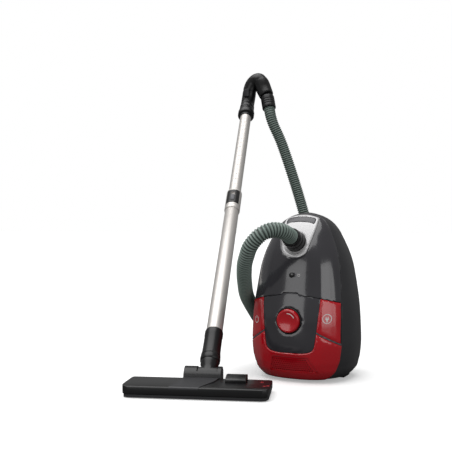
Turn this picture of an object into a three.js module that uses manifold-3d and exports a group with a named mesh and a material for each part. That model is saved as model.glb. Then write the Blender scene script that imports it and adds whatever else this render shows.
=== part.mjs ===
// A bagged canister vacuum cleaner, parked on its rear end, with its hose, telescopic wand and floor head.
// Millimetres, +Z up. X is across the canister, its lid and controls face -Y, its wheels face +Y,
// and the origin is the middle of the rest pad that it stands on.
import * as THREE from "three";
import { mergeVertices } from "three/addons/utils/BufferGeometryUtils.js";
import Module from "manifold-3d";

const wasm = await Module();
wasm.setup();

// ---------------------------------------------------------------- driving dimensions
const GAP = 0.4; // between pieces that touch
const WALL = 3; // moulded shells
const SKIN_STEP = 1.5; // how far the inlet panel and the knob ring stand proud of the shells

// The canister's outline: height, half width, and reach in front of and behind the origin.
const BODY_ROWS = [
  [5, 88, 77, 82],
  [11, 101, 92, 92],
  [25, 113, 102, 100],
  [39, 117, 107, 103],
  [54, 120.5, 110, 104.5],
  [85, 123, 114, 106],
  [124, 122, 113, 106],
  [153, 120.5, 111, 106],
  [181, 118, 106.5, 105.5],
  [209, 114, 100, 104.5],
  [237, 109.5, 94, 102.5],
  [265, 104, 87.5, 100],
  [294, 94.5, 78, 94],
  [322, 82, 64, 85],
  [343, 71, 51, 75],
  [360, 57, 37, 62],
  [372, 39, 21, 46],
  [379, 20, 4, 28],
  [381.5, 8, -3, 17],
];
const BODY_BELLY_Y = 10; // where each outline is widest
const BODY_SIDES = 44;
const FRONT_SQUARENESS = 2.4; // 2 is an ellipse
const REAR_SQUARENESS = 2.8;
// Side view of the parting between the dark base shell and the glossy front, in (y, z).
const PARTING = [[-68, -20], [-66, 60], [-65, 105], [-61, 150], [-57, 182], [-49, 218], [-42, 253], [-35, 281],
  [-28, 306], [-22, 330], [-16, 352], [-6, 370], [8, 400]];
const PARTING_GAP = 1.3;

const SEAM = [[0, 201.5], [15, 201], [26, 196], [65, 190], [110, 178], [150, 168]]; // lid over control panel, half
const SEAM_GAP = 0.6;
const PANEL_HALF = 67; // control panel
const PANEL_BOTTOM = 69;
const PEDAL_TRAVEL = 3;
const PEDAL_SILL = { inner: 113, outer: 62 }; // heights of the pedals' lower edges, beside the panel and at x 150
const KNOB = { z: 140, radius: 26.5, bore: 30 };
const GRILLE = { low: 26, high: 58, lowLeft: -50, lowRight: 61, highHalf: 41 };

const INLET = { face: [0, -75.5, 317], tilt: 20, bore: 24 }; // hose connector in the lid, tilt above level in degrees
const HOSE_RADIUS = 17.5;

const WAND = {
  foot: [-141.3, -227.7, 28], // tilt axis of the floor head
  heading: 18.3, // degrees from +Y towards -X
  rise: 41.4, // degrees above level
  neckEnd: 121,
  lowRadius: 18.75,
  collarStart: 540,
  collarEnd: 626,
  topRadius: 17,
  topStart: 503,
  topEnd: 1003,
  wall: 1.2,
};
const HEAD = { middle: -11, half: 152, front: -116, rear: 8, crest: 32, sole: 8, pedal: 67 };
const PIN_RADIUS = 3;

// ---------------------------------------------------------------- geometry helpers
const radians = THREE.MathUtils.degToRad;

// A closed three.js geometry as a solid, turned the right way out.
function solid(geometry) {
  const bare = geometry.clone();
  for (const name of Object.keys(bare.attributes)) if (name !== "position") bare.deleteAttribute(name);
  const merged = mergeVertices(bare, 1e-4);
  const corners = new Uint32Array(merged.index.array);
  const make = () =>
    new wasm.Manifold(
      new wasm.Mesh({ numProp: 3, vertProperties: merged.attributes.position.array, triVerts: corners }),
    );
  let made = make();
  if (made.volume() < 0) {
    for (let i = 0; i < corners.length; i += 3) [corners[i], corners[i + 1]] = [corners[i + 1], corners[i]];
    made = make();
  }
  return made;
}
const join = (first, ...rest) => rest.reduce((sum, next) => sum.add(next), first);
const cut = (first, ...rest) => rest.reduce((left, tool) => left.subtract(tool), first);
const common = (first, ...rest) => rest.reduce((shared, next) => shared.intersect(next), first);

function geometryOf(made) {
  const mesh = made.getMesh();
  const geometry = new THREE.BufferGeometry();
  geometry.setAttribute("position", new THREE.BufferAttribute(new Float32Array(mesh.vertProperties), 3));
  geometry.setIndex(new THREE.BufferAttribute(new Uint32Array(mesh.triVerts), 1));
  return geometry;
}

const basis = (x, y, z) => new THREE.Matrix4().makeBasis(x, y, z);
const X = new THREE.Vector3(1, 0, 0);
const Y = new THREE.Vector3(0, 1, 0);
const Z = new THREE.Vector3(0, 0, 1);
const ALONG = {
  x: basis(Y, Z, X), // an outline in (y, z), extruded along +X
  y: basis(Z, X, Y), // an outline in (z, x), extruded along +Y
  z: basis(X, Y, Z), // an outline in (x, y), extruded along +Z
};

const shapeOf = (points) => new THREE.Shape(points.map(([a, b]) => new THREE.Vector2(a, b)));

// An outline extruded between two places on an axis.
function prism(axis, outline, from, to) {
  const shape = Array.isArray(outline) ? shapeOf(outline) : outline;
  const geometry = new THREE.ExtrudeGeometry(shape, { depth: to - from, bevelEnabled: false, curveSegments: 6 });
  geometry.translate(0, 0, from).applyMatrix4(ALONG[axis]);
  return solid(geometry);
}
// An outline in (x, z), extruded along Y.
const frontPrism = (points, from, to) => prism("y", points.map(([x, z]) => [z, x]), from, to);

const box = (x, y, z) =>
  solid(
    new THREE.BoxGeometry(x[1] - x[0], y[1] - y[0], z[1] - z[0]).translate(
      (x[0] + x[1]) / 2,
      (y[0] + y[1]) / 2,
      (z[0] + z[1]) / 2,
    ),
  );

// A turned solid about an axis, from [radius, place] pairs, moved to an origin.
function turned(axis, profile, [x, y, z] = [0, 0, 0], sides = 32) {
  const points = profile.map(([r, at]) => new THREE.Vector2(r, at));
  const geometry = new THREE.LatheGeometry(points, sides).applyMatrix4(basis(X, Z, Y.clone().negate()));
  geometry.applyMatrix4(ALONG[axis]);
  return solid(geometry.translate(x, y, z));
}
const rod = (axis, radius, from, to, origin, sides) =>
  turned(axis, [[0, from], [radius, from], [radius, to], [0, to]], origin, sides);
const ring = (axis, outer, inner, from, to, origin, sides) =>
  turned(axis, [[inner, from], [outer, from], [outer, to], [inner, to], [inner, from]], origin, sides);

// A round bar along a smooth line.
function bar(points, radius, sides, steps, tension = 0.5) {
  const circle = new THREE.Shape();
  for (let i = 0; i < sides; i++) {
    const turn = (2 * Math.PI * i) / sides;
    const [a, b] = [radius * Math.cos(turn), radius * Math.sin(turn)];
    if (i === 0) circle.moveTo(a, b);
    else circle.lineTo(a, b);
  }
  circle.closePath();
  const path = new THREE.CatmullRomCurve3(points.map((p) => new THREE.Vector3(...p)), false, "catmullrom", tension);
  return solid(new THREE.ExtrudeGeometry(circle, { steps, extrudePath: path, bevelEnabled: false }));
}

// A closed solid through rings of points, each ring at its own height.
function lofted(rings) {
  const sides = rings[0].length;
  const positions = rings.flat().flatMap((p) => [p.x, p.y, p.z]);
  const faces = [];
  for (let level = 0; level + 1 < rings.length; level++)
    for (let i = 0; i < sides; i++) {
      const [a, b] = [level * sides + i, level * sides + ((i + 1) % sides)];
      faces.push(a, b, a + sides, b, b + sides, a + sides);
    }
  const last = (rings.length - 1) * sides;
  for (let i = 1; i + 1 < sides; i++) {
    faces.push(0, i + 1, i);
    faces.push(last, last + i, last + i + 1);
  }
  const geometry = new THREE.BufferGeometry();
  geometry.setAttribute("position", new THREE.Float32BufferAttribute(positions, 3));
  geometry.setIndex(faces);
  return solid(geometry);
}

// ---------------------------------------------------------------- materials
const finish = (color, roughness, metalness = 0) => new THREE.MeshStandardMaterial({ color, roughness, metalness });
const GLOSS_GREY = finish("#4a494d", 0.22);
const MATT_GREY = finish("#35353a", 0.5);
const RED = finish("#b0151f", 0.28);
const SILVER = finish("#d9d9da", 0.3, 0.2);
const BLACK = finish("#1f1f20", 0.45);
const RUBBER = finish("#151515", 0.8);
const HOSE = finish("#6b7d76", 0.55);
const METAL = finish("#c8c4c0", 0.3, 1);
const STEEL = finish("#9c9ea0", 0.35, 1);
const PAPER = finish("#d8d2c2", 0.95);
const FOAM = finish("#5d6063", 0.95);
const BRASS = finish("#b58b4c", 0.4, 1);
const BOARD = finish("#2f6b3f", 0.6);
const GREY_PART = finish("#8b8c90", 0.5);
const WINDOW = finish("#101114", 0.15);

const cleaner = new THREE.Group();
const canister = new THREE.Group();
cleaner.add(canister);
function piece(name, made, material, group = canister) {
  const mesh = new THREE.Mesh(geometryOf(made), material);
  mesh.name = name;
  group.add(mesh);
  return mesh;
}

// ---------------------------------------------------------------- canister form
// One outline of the canister, grown by an offset.
function bodyOutline([z, half, front, rear], grow) {
  const points = [];
  for (let i = 0; i < BODY_SIDES; i++) {
    const turn = (2 * Math.PI * (i + 0.5)) / BODY_SIDES;
    const [c, s] = [Math.cos(turn), Math.sin(turn)];
    const power = 2 / (s < 0 ? FRONT_SQUARENESS : REAR_SQUARENESS);
    const reach = s < 0 ? front + BODY_BELLY_Y : rear - BODY_BELLY_Y;
    points.push(
      new THREE.Vector3(
        Math.sign(c) * (half + grow) * Math.abs(c) ** power,
        BODY_BELLY_Y + Math.sign(s) * (reach + grow) * Math.abs(s) ** power,
        z,
      ),
    );
  }
  return points;
}
// The canister's solid, grown or shrunk evenly.
function bodySolid(grow) {
  const first = BODY_ROWS[0][0];
  const last = BODY_ROWS.at(-1)[0];
  const middle = (first + last) / 2;
  const stretch = (last - first + 2 * grow) / (last - first);
  return lofted(BODY_ROWS.map((row) => bodyOutline([middle + (row[0] - middle) * stretch, ...row.slice(1)], grow)));
}
const outer = bodySolid(0);
const inner = bodySolid(-WALL);
const skin = cut(outer, inner);
const proudSkin = cut(bodySolid(SKIN_STEP), bodySolid(-WALL + 0.5));

const partingLine = (shift) => PARTING.map(([y, z]) => [y + shift, z]);
const frontSide = (shift) => prism("x", [...partingLine(shift), [-220, 400], [-220, -20]], -200, 200);
const rearSide = prism("x", [...partingLine(0), [220, 400], [220, -20]], -200, 200);

const mirrored = (half) => [...half.slice(1).reverse().map(([x, z]) => [-x, z]), ...half];
const seamLine = (lift) => mirrored(SEAM).map(([x, z]) => [x, z + lift]);
const aboveSeam = frontPrism([...seamLine(SEAM_GAP), [150, 420], [-150, 420]], -220, 220);
const belowSeam = frontPrism([...seamLine(-SEAM_GAP), [150, -20], [-150, -20]], -220, 220);

const panelHalfLine = (grow) => [
  [PANEL_HALF + grow, 240],
  [PANEL_HALF + grow, 182],
  [PANEL_HALF - 2.5 + grow, 150],
  [PANEL_HALF - 6 + grow, 115],
  [PANEL_HALF - 11 + grow, 83 - grow],
  [PANEL_HALF - 20 + grow, PANEL_BOTTOM + 4 - grow],
  [PANEL_HALF - 40, PANEL_BOTTOM - grow],
];
const panelRegion = (grow) => {
  const right = panelHalfLine(grow);
  return frontPrism([...right, ...right.map(([x, z]) => [-x, z]).reverse()], -220, 0);
};
const pedalRegion = (side, grow) =>
  frontPrism(
    [
      [side * (PANEL_HALF - 10), PEDAL_SILL.inner + 5 - grow],
      [side * (PANEL_HALF - 2), PEDAL_SILL.inner - grow],
      [side * 150, PEDAL_SILL.outer - grow],
      [side * 150, 230],
      [side * (PANEL_HALF - 10), 230],
    ],
    -220,
    0,
  );

// ---------------------------------------------------------------- base shell and what it stands on
const WHEEL = { x: 72, y: 88, z: 58, radius: 36, width: 20 };
const CASTER = { y: 97, z: 300, radius: 17, width: 14 };
const wheelWell = (side) =>
  rod("x", WHEEL.radius + 4, side * WHEEL.x - 14, side * WHEEL.x + 14, [0, WHEEL.y, WHEEL.z], 32);
const wells = [-1, 1].map(wheelWell);
const casterWell = rod("y", 26, CASTER.y - 16, CASTER.y + 40, [0, 0, CASTER.z], 28);
const OUTLET = { x: 48, z: 34, radius: 9 };
const outletHole = rod("y", OUTLET.radius + GAP, 60, 120, [OUTLET.x, 0, OUTLET.z], 20);
piece("base_shell", cut(common(skin, rearSide), ...wells, casterWell, outletHole), MATT_GREY);

const FOOT = { x: 84, width: 12, from: 8, to: 52, height: 16 };
const clearOfBody = bodySolid(GAP);
piece("rest_pad", box([-23, 23], [-52, 34], [0, BODY_ROWS[0][0] - GAP]), RUBBER);
for (const [name, side] of [["left", -1], ["right", 1]]) {
  const x = [side * FOOT.x - FOOT.width / 2, side * FOOT.x + FOOT.width / 2];
  piece(`rear_foot_${name}`, cut(box(x, [FOOT.from, FOOT.to], [0, FOOT.height]), clearOfBody), RUBBER);
}

// ---------------------------------------------------------------- lid
const INLET_HALF = [[0, 279.5], [14, 281], [26, 287.5], [31, 297], [34.5, 312], [37, 322], [40.5, 343], [40.5, 362],
  [36, 369], [14, 375], [0, 376]];
const inletRegion = (grow) =>
  frontPrism(mirrored(INLET_HALF).map(([x, z]) => [x + Math.sign(x) * grow, z + (z < 330 ? -grow : grow)]).slice(0, -1), -220, 60);
const LATCH_HALF = [[0, 360.5], [15, 359.8], [26, 358], [32, 355.5], [34.5, 358], [34.5, 364], [30, 367.5], [18, 370], [0, 371.5]];
const latchRegion = (grow) =>
  frontPrism(mirrored(LATCH_HALF).slice(0, -1).map(([x, z]) => [x + Math.sign(x) * grow, z + (z < 362 ? -grow : grow)]), -220, 60);

const inletTilt = radians(INLET.tilt);
const inletOut = [0, -Math.cos(inletTilt), Math.sin(inletTilt)];
const inletAt = (along) => INLET.face.map((v, i) => v + inletOut[i] * along);
// A solid turned about +Z, laid along the inlet's own axis.
function onInlet(made) {
  const turn = new THREE.Matrix4().makeRotationX(Math.PI / 2 - inletTilt);
  const move = new THREE.Matrix4().makeTranslation(...INLET.face);
  return made.transform(move.multiply(turn).elements);
}
const BAG_MOUTH_Z = 291;
const INDICATOR = { z: 240, x: 0, radius: 5.5 };
const inletBore = onInlet(rod("z", INLET.bore, -40, 40, [0, 0, 0], 36));
const indicatorHole = rod("y", INDICATOR.radius + GAP, -140, -60, [INDICATOR.x, 0, INDICATOR.z], 20);
const frontPart = common(skin, frontSide(-PARTING_GAP));
piece("lid_shell", cut(common(frontPart, aboveSeam), inletRegion(GAP), indicatorHole), GLOSS_GREY);
piece(
  "inlet_panel",
  cut(common(proudSkin, inletRegion(-GAP), frontSide(-PARTING_GAP)), latchRegion(1), inletBore),
  SILVER,
);
piece("lid_latch", common(cut(bodySolid(SKIN_STEP - 0.5), bodySolid(-WALL)), latchRegion(0), frontSide(-PARTING_GAP)), MATT_GREY);
piece(
  "indicator_lens",
  rod("y", INDICATOR.radius, -94.5, -86, [INDICATOR.x, 0, INDICATOR.z], 20),
  WINDOW,
);
piece("inlet_seal", ring("y", 27, 20.4, -26, -22, [0, 0, BAG_MOUTH_Z], 28), RUBBER);

// Hose connector: a sleeve that turns in the inlet and reaches back to the seal.
piece(
  "hose_connector",
  onInlet(
    turned(
      "z",
      [[16.5, -46], [19.8, -46], [19.8, -8], [INLET.bore - 1, -6], [INLET.bore - 1, 7], [22, 10], [21.5, 24], [20.5, 26],
        [16.5, 26], [16.5, -46]],
      [0, 0, 0],
      36,
    ),
  ),
  BLACK,
);

// ---------------------------------------------------------------- control panel, knob and pedals
const knobBore = rod("y", KNOB.bore, -140, -80, [0, 0, KNOB.z], 40);
piece("control_panel", cut(common(frontPart, belowSeam, panelRegion(0)), knobBore), GLOSS_GREY);
piece("knob_well", turned("y", [[0, -100], [29.6, -100], [29.6, -112], [27.6, -112], [27.6, -102.5], [0, -102.5]], [0, 0, KNOB.z], 40), BLACK);
piece(
  "power_knob",
  turned(
    "y",
    [[0, -103], [25, -103], [KNOB.radius, -106], [KNOB.radius, -116], [24.5, -119], [19, -120.5], [0, -121.5]],
    [0, 0, KNOB.z],
    40,
  ),
  RED,
);
for (const [name, side] of [["power_pedal", -1], ["rewind_pedal", 1]]) {
  const half = side < 0 ? [[-150, -220], [0, -220], [0, 0], [-150, 0]] : [[0, -220], [150, -220], [150, 0], [0, 0]];
  const sideOnly = prism("z", half, 0, 400);
  piece(
    name,
    cut(
      common(skin, frontSide(-PARTING_GAP - PEDAL_TRAVEL), belowSeam, pedalRegion(side, -2.2), sideOnly),
      panelRegion(GAP + 0.4),
    ),
    RED,
  );
}
const grilleRegion = (grow) =>
  frontPrism(
    [
      [GRILLE.lowLeft - grow, GRILLE.low - grow],
      [GRILLE.lowRight + grow, GRILLE.low - grow],
      [GRILLE.highHalf + grow, GRILLE.high + grow],
      [-GRILLE.highHalf - grow, GRILLE.high + grow],
    ],
    -220,
    0,
  );
const bumper = cut(
  common(frontPart, belowSeam),
  panelRegion(GAP + 0.4),
  pedalRegion(-1, 2.2),
  pedalRegion(1, 2.2),
  grilleRegion(GAP),
);
piece("rear_bumper", bumper, RED);
const slots = [];
for (let level = 0; level < 4; level++) {
  const z = 30.5 + level * 7;
  slots.push(box([-40, 46 - level * 4], [-140, -60], [z, z + 3.2]));
}
piece("exhaust_grille", cut(common(cut(bodySolid(-0.6), bodySolid(-WALL)), grilleRegion(0)), ...slots), RED);

// ---------------------------------------------------------------- inside the canister
const insideOnly = bodySolid(-WALL - 1);
piece(
  "bulkhead",
  cut(common(insideOnly, box([-130, 130], [-50, 120], [196, 200])), rod("z", 22, 180, 220, [-40, 25, 0], 24), casterWell),
  BLACK,
);
piece("motor_filter", box([-68, -12], [-2, 52], [201, 209]), FOAM);
piece("dust_bag", common(bodySolid(-14), box([-78, 78], [-17, 76], [214, 330])), PAPER);
piece("bag_holder", cut(box([-46, 46], [-21.6, -17.6], [262, 326]), rod("y", 20.4, -40, 0, [0, 0, BAG_MOUTH_Z], 24)), GREY_PART);

const MOTOR = { x: -40, y: 8, radius: 42, low: 78, high: 168 };
piece(
  "motor_housing",
  turned("z", [[MOTOR.radius, MOTOR.low], [MOTOR.radius, MOTOR.high], [20, MOTOR.high + 8], [20, MOTOR.high + 5],
    [MOTOR.radius - 3, MOTOR.high - 3], [MOTOR.radius - 3, MOTOR.low], [MOTOR.radius, MOTOR.low]],
    [MOTOR.x, MOTOR.y, 0], 32),
  GREY_PART,
);
piece(
  "fan_rotor",
  turned("z", [[0, 70], [4, 70], [4, 88], [22, 92], [22, 128], [4, 132], [4, 148], [36, 148], [36, 151], [18, 160],
    [18, 163], [0, 163]], [MOTOR.x, MOTOR.y, 0], 28),
  BRASS,
);
piece("motor_mount", ring("z", MOTOR.radius + 1, 28, 64, MOTOR.low - GAP, [MOTOR.x, MOTOR.y, 0], 28), RUBBER);

const REEL = { x: 62, y: 5, z: 118, radius: 50, half: 22 };
piece(
  "cord_reel",
  turned("x", [[7, -REEL.half], [REEL.radius, -REEL.half], [REEL.radius, -REEL.half + 3], [24, -REEL.half + 3],
    [24, REEL.half - 3], [REEL.radius, REEL.half - 3], [REEL.radius, REEL.half], [7, REEL.half], [7, -REEL.half]],
    [REEL.x, REEL.y, REEL.z], 36),
  BLACK,
);
piece("reel_axle", rod("x", 6.4, REEL.x - REEL.half - 8, REEL.x + REEL.half + 8, [0, REEL.y, REEL.z], 16), STEEL);
piece("reel_brake", box([70, 92], [-54, -46.5], [118, 150]), GREY_PART);
piece("power_switch", box([-92, -70], [-52, -36], [120, 146]), BLACK);
piece("control_board", box([-34, 34], [-92, -90], [118, 166]), BOARD);
for (const [name, side] of [["power_spring", -1], ["rewind_spring", 1]])
  piece(name, ring("y", 5, 3.2, -72, -56, [side * 84, 0, 158], 14), STEEL);
piece("exhaust_filter", box([-44, 44], [-74, -62], [26, 62]), FOAM);
piece("cord_outlet", ring("y", OUTLET.radius, 4.5, 84, 108, [OUTLET.x, 0, OUTLET.z], 20), BLACK);

// ---------------------------------------------------------------- wheels
piece("wheel_axle", rod("x", 3.6, -WHEEL.x - 13, WHEEL.x + 13, [0, WHEEL.y, WHEEL.z], 14), STEEL);
for (const [name, side] of [["left", -1], ["right", 1]])
  piece(
    `rear_wheel_${name}`,
    turned("x", [[4, -10], [WHEEL.radius - 4, -10], [WHEEL.radius, -6], [WHEEL.radius, 6], [WHEEL.radius - 4, 10],
      [4, 10], [4, -10]], [side * WHEEL.x, WHEEL.y, WHEEL.z], 36),
    BLACK,
  );
const fork = cut(
  join(
    rod("y", 22, CASTER.y - 10, CASTER.y - 6, [0, 0, CASTER.z], 28),
    box([-12, -8.6], [CASTER.y - 8, CASTER.y + 16], [CASTER.z - 16, CASTER.z + 4]),
    box([8.6, 12], [CASTER.y - 8, CASTER.y + 16], [CASTER.z - 16, CASTER.z + 4]),
    rod("x", 2.6, -10, 10, [0, CASTER.y + 12, CASTER.z - 10], 12),
  ),
);
piece("caster_fork", fork, BLACK);
piece(
  "caster_wheel",
  ring("x", CASTER.radius - 3.5, 3.1, -7.5, 7.5, [0, CASTER.y + 12, CASTER.z - 10], 24),
  GREY_PART,
);
piece("parking_bracket", join(box([-16, 16], [106.5, 110], [96, 132]), box([-16, -10], [109, 118], [96, 132]),
  box([10, 16], [109, 118], [96, 132]), box([-16, 16], [116, 119], [96, 132])), BLACK);

// ---------------------------------------------------------------- wand: group along its own +Z from the tilt axis
const wandHeading = new THREE.Group();
wandHeading.position.set(...WAND.foot);
wandHeading.rotation.z = radians(WAND.heading);
const wand = new THREE.Group();
wand.rotation.x = -radians(90 - WAND.rise);
wandHeading.add(wand);
cleaner.add(wandHeading);

const tiltBore = (reach, origin) => rod("x", PIN_RADIUS + GAP, -reach, reach, origin, 12);
piece(
  "neck_elbow",
  cut(join(rod("x", 17, -21, 21, [0, 0, 0], 28), rod("z", 16, 4, 34, [0, 0, 0], 28)), tiltBore(30, [0, 0, 0])),
  BLACK,
  wand,
);
piece(
  "neck_tube",
  turned("z", [[17, 34.4], [22, 34.4], [22.5, 42], [20.3, 60], [19.8, WAND.neckEnd - GAP], [15.5, WAND.neckEnd - GAP],
    [15.5, 38], [17, 34.4]], [0, 0, 0], 28),
  BLACK,
  wand,
);
piece("parking_hook", box([-9, 9], [20.8, 30], [74, 104]), BLACK, wand);
piece("lower_tube", ring("z", WAND.lowRadius, WAND.lowRadius - WAND.wall, WAND.neckEnd, WAND.collarStart + 4, [0, 0, 0], 32), METAL, wand);
const lockCollar = cut(
  turned("z", [[17.6, WAND.collarStart + 4.4], [19, WAND.collarStart + 4.4], [21, WAND.collarStart + 8], [21, WAND.collarEnd - 6],
    [19.4, WAND.collarEnd], [17.6, WAND.collarEnd], [17.6, WAND.collarStart + 4.4]], [0, 0, 0], 32),
  box([-5.4, 5.4], [-26, -17], [572, 606]),
);
piece("lock_collar", lockCollar, METAL, wand);
piece("lock_button", box([-5, 5], [-23.5, -17.9], [573, 594]), GREY_PART, wand);
piece("upper_tube", ring("z", WAND.topRadius, WAND.topRadius - WAND.wall, WAND.topStart, WAND.topEnd, [0, 0, 0], 32), METAL, wand);
piece(
  "handle_collar",
  turned("z", [[14, WAND.topEnd + GAP], [22, WAND.topEnd + GAP], [22.5, WAND.topEnd + 30], [25, WAND.topEnd + 36],
    [25, WAND.topEnd + 66], [14, WAND.topEnd + 66], [14, WAND.topEnd + GAP]], [0, 0, 0], 28),
  BLACK,
  wand,
);

// ---------------------------------------------------------------- handle, in the cleaner's own frame
const wandPoint = (along) => {
  const [level, up] = [along * Math.cos(radians(WAND.rise)), along * Math.sin(radians(WAND.rise))];
  const turn = radians(WAND.heading);
  return [WAND.foot[0] - level * Math.sin(turn), WAND.foot[1] + level * Math.cos(turn), WAND.foot[2] + up];
};
const HANDLE_ROUTE = [
  wandPoint(WAND.topEnd + 66.5),
  wandPoint(WAND.topEnd + 80),
  [-396, 552, 768],
  [-391, 553, 796],
  [-380, 553, 815],
  [-363, 553, 822],
  [-350, 552, 810],
  [-341, 550, 789],
  [-329, 543, 768],
];
piece("handle_grip", bar(HANDLE_ROUTE, 20.5, 16, 26), BLACK, cleaner);
const CUFF_ROUTE = [[-325.5, 540.4, 761.6], [-319, 533, 742], [-312.5, 525.6, 722.4]];
piece("hose_cuff", bar(CUFF_ROUTE, 22, 16, 3), BLACK, cleaner);
piece("suction_slider", box([-403, -384], [525, 531], [768, 792]), GREY_PART, cleaner);

// ---------------------------------------------------------------- hose: connector to floor, floor to handle
const HOSE_EXIT = inletAt(27);
const HOSE_FRONT = [
  HOSE_EXIT, [-1, -124, 334], [-8, -144, 340], [-21, -161, 341], [-36, -173, 334], [-52, -176, 321],
  [-67, -173, 304], [-79, -162, 285], [-91, -147, 267], [-101, -128, 250], [-111, -106, 232], [-120, -83, 215],
  [-129, -59, 198], [-136, -34, 181], [-140, -8, 164], [-142, 18, 146], [-143, 43, 128], [-142, 69, 109],
  [-142, 95, 91], [-141, 121, 73], [-139, 148, 56], [-138, 176, 42], [-136, 205, 30], [-134, 236, 22],
  [-132, 266, 18.5], [-130, 298, 18.5], [-130, 329, 18.5], [-130, 360, 18.5],
];
const HOSE_REAR = [
  [-130, 360.4, 18.5], [-131, 410, 18.5], [-134, 462, 22], [-139, 508, 42], [-146, 538, 80], [-154, 552, 130],
  [-163, 556, 190], [-173, 554, 250], [-184, 550, 310], [-204, 543, 394], [-234, 534, 500], [-270, 525, 610],
  [-294, 517, 668], [-304.9, 517.8, 699.6], [-311.7, 525.6, 720],
];
piece("hose_front", bar(HOSE_FRONT, HOSE_RADIUS, 10, 34), HOSE, cleaner);
piece("hose_rear", bar(HOSE_REAR, HOSE_RADIUS, 10, 22), HOSE, cleaner);

// ---------------------------------------------------------------- floor head, level, turned with the wand
const head = new THREE.Group();
head.position.set(WAND.foot[0], WAND.foot[1], 0);
head.rotation.z = radians(WAND.heading);
cleaner.add(head);

const headHalfLine = [[HEAD.half - 14, HEAD.front], [HEAD.half, HEAD.front + 18], [HEAD.half, HEAD.rear - 28],
  [HEAD.half - 24, HEAD.rear]];
const headOutline = [...headHalfLine, ...headHalfLine.map(([x, y]) => [-x, y]).reverse()].map(([x, y]) => [x + HEAD.middle, y]);
const headDepthMiddle = (HEAD.front + HEAD.rear) / 2;
// The floor head's outline, drawn in towards its own middle.
const headInset = (across, deep) =>
  headOutline.map(([x, y]) => [HEAD.middle + (x - HEAD.middle) * across, headDepthMiddle + (y - headDepthMiddle) * deep]);
const headSide = prism("x", [[HEAD.front - 1, HEAD.sole + 0.5], [HEAD.front, 27], [HEAD.front + 8, 30], [HEAD.front + 50, HEAD.crest],
  [HEAD.rear - 24, 30], [HEAD.rear + 1, 22], [HEAD.rear + 1, HEAD.sole + 0.5]], -HEAD.half - 20, HEAD.half + 5);
const FAIRING = { radius: 25, left: -50, right: 30.5, front: -17.8 }; // hood over the neck's barrel
const neckSlot = box([-22.5, 22.5], [FAIRING.front, HEAD.rear + 20], [HEAD.sole, 60]);
const pedalWell = box([HEAD.pedal - 22.5, HEAD.pedal + 22.5], [-62.5, -17.5], [20, 60]);
const fairing = rod("x", FAIRING.radius, FAIRING.left, FAIRING.right, [0, 0, 22], 28);
const fairingFront = common(fairing, box([FAIRING.left - 2, 40], [-30, 22], [HEAD.sole + 0.5, 48]));
piece("head_cover", cut(join(common(prism("z", headOutline, 0, 60), headSide), fairingFront),
  neckSlot, pedalWell, tiltBore(28.5, [0, 0, WAND.foot[2]]),
  cut(common(prism("z", headInset(0.965, 0.93), 0, 60),
    headSide.translate(0, 0, -3.5)), box([-64, 60], [-32, 40], [0, 60]),
    box([HEAD.pedal - 27, HEAD.pedal + 27], [-68, -12], [15, 60]))), BLACK, head);
const SLOT_Y = [-88, -66];
const ROLLER = { x: [HEAD.middle - 108, HEAD.middle + 108], y: -14, radius: 7 };
piece("sole_plate", cut(prism("z", headInset(0.985, 0.98), 1.5, HEAD.sole), box([HEAD.middle - 122, HEAD.middle + 122], SLOT_Y, [-1, 20]),
  ...ROLLER.x.map((x) => box([x - 9, x + 9], [ROLLER.y - 8.5, ROLLER.y + 8.5], [-1, 20])),
  box([HEAD.middle - 134, HEAD.middle + 134], [-111, -103], [-1, 6.4])), MATT_GREY, head);
piece("brush_strip", box([HEAD.middle - 132, HEAD.middle + 132], [-110.6, -103.4], [0.2, 3.1]), RUBBER, head);
for (const [i, name] of ["left", "right"].entries())
  piece(`sole_roller_${name}`, rod("x", ROLLER.radius, ROLLER.x[i] - 8, ROLLER.x[i] + 8, [0, ROLLER.y, ROLLER.radius], 20),
    GREY_PART, head);
piece("lint_strip", box([HEAD.middle - 118, HEAD.middle + 118], [-62.5, -57.5], [0.4, 1.1]), finish("#a02028", 0.95), head);
piece("head_pedal", cut(prism("x", [[-61.5, 24], [-18.5, 24], [-18.5, 34], [-40, 39], [-61.5, 33.5]], HEAD.pedal - 21.6, HEAD.pedal + 21.6)), BLACK, head);
piece("tilt_pin", rod("x", PIN_RADIUS, -28, 28, [0, 0, WAND.foot[2]], 12), STEEL, head);

export default cleaner;
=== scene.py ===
# A bagged canister vacuum cleaner, parked on its rear end, with its hose, telescopic wand and floor head.
# Metres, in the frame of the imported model. Sizes in this file are in millimetres and go through mm().
import math

import bmesh
import bpy
from mathutils import Matrix, Vector
from mathutils.kdtree import KDTree


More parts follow.
